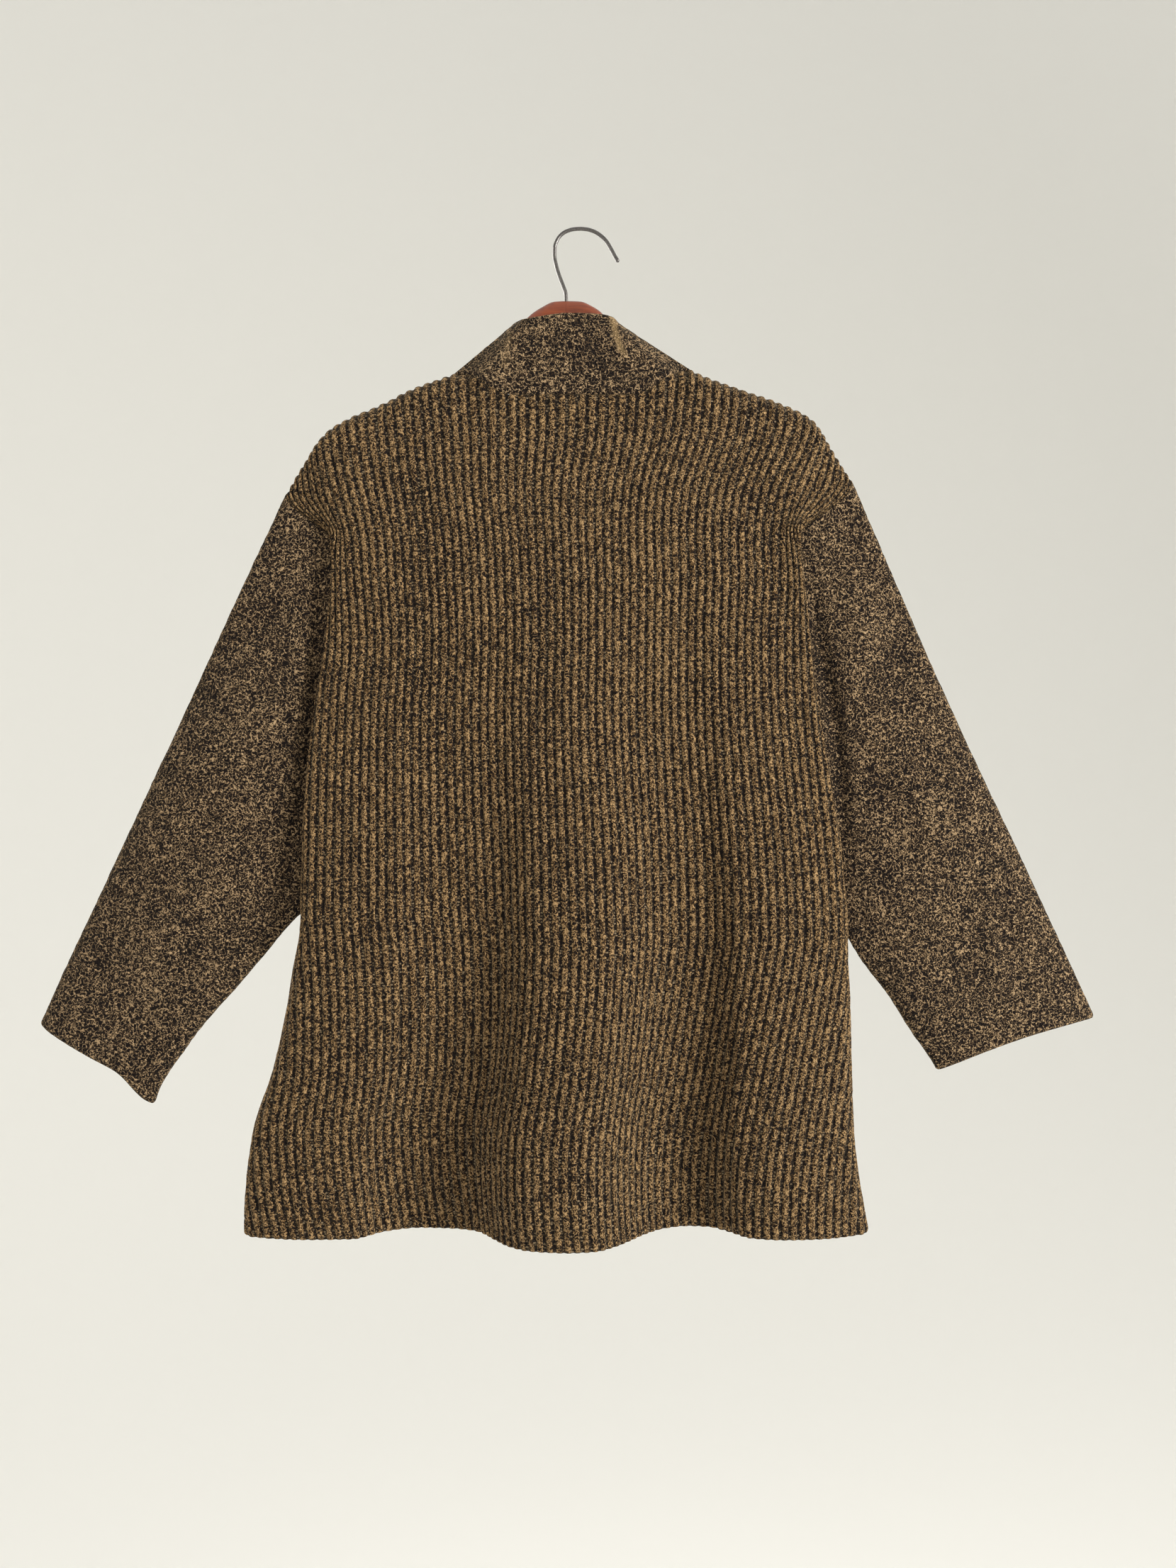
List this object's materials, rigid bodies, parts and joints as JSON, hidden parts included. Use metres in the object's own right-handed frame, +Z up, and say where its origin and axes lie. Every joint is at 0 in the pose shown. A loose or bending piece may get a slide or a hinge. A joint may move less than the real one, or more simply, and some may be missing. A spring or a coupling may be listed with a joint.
{
  "type": "quarter-zip sweater on a wooden hanger",
  "caption": "Long ribbed boucle sweater with a stand collar, an open quarter zip, dropped shoulders and wide sleeves, hanging on a wooden hanger with a wire hook.",
  "frame": {"origin": "inner crown of the hanger's wire hook, where a nail or a rail holds it", "axes": "+Z up, -Y out of the back of the sweater, +Y out of its front and its zip, +X to the wearer's right"},
  "size_m": [0.925, 0.093, 0.872],
  "materials": {
    "ribbed_knit": "boucle wool-blend rib knit, beige loops with near-black brown furrows",
    "plain_knit": "boucle wool-blend plain knit, beige and near-black brown flecks",
    "zip_tape": "woven tape, matte",
    "zip_metal": "aged brass, satin",
    "wood": "reddish stained and varnished",
    "wire": "dull grey steel"
  },
  "bodies": {
    "garment": {"back": "ribbed_knit", "front": "ribbed_knit", "collar": "plain_knit", "sleeve_left": "plain_knit", "sleeve_right": "plain_knit", "zip_tape_left": "zip_tape", "zip_tape_right": "zip_tape", "zip_slider": "zip_metal", "hanger_left": "wood", "hanger_right": "wood", "hanger_hook": "wire"},
    "pull_tab": {"zip_pull": "zip_metal"}
  },
  "joints": [
    {"name": "pull_hinge", "type": "hinge", "parent": "garment", "child": "pull_tab", "pos_m": [-0.0095, 0.0166, -0.3745], "axis": [1, 0, 0], "range_deg": [0, 150]}
  ]
}
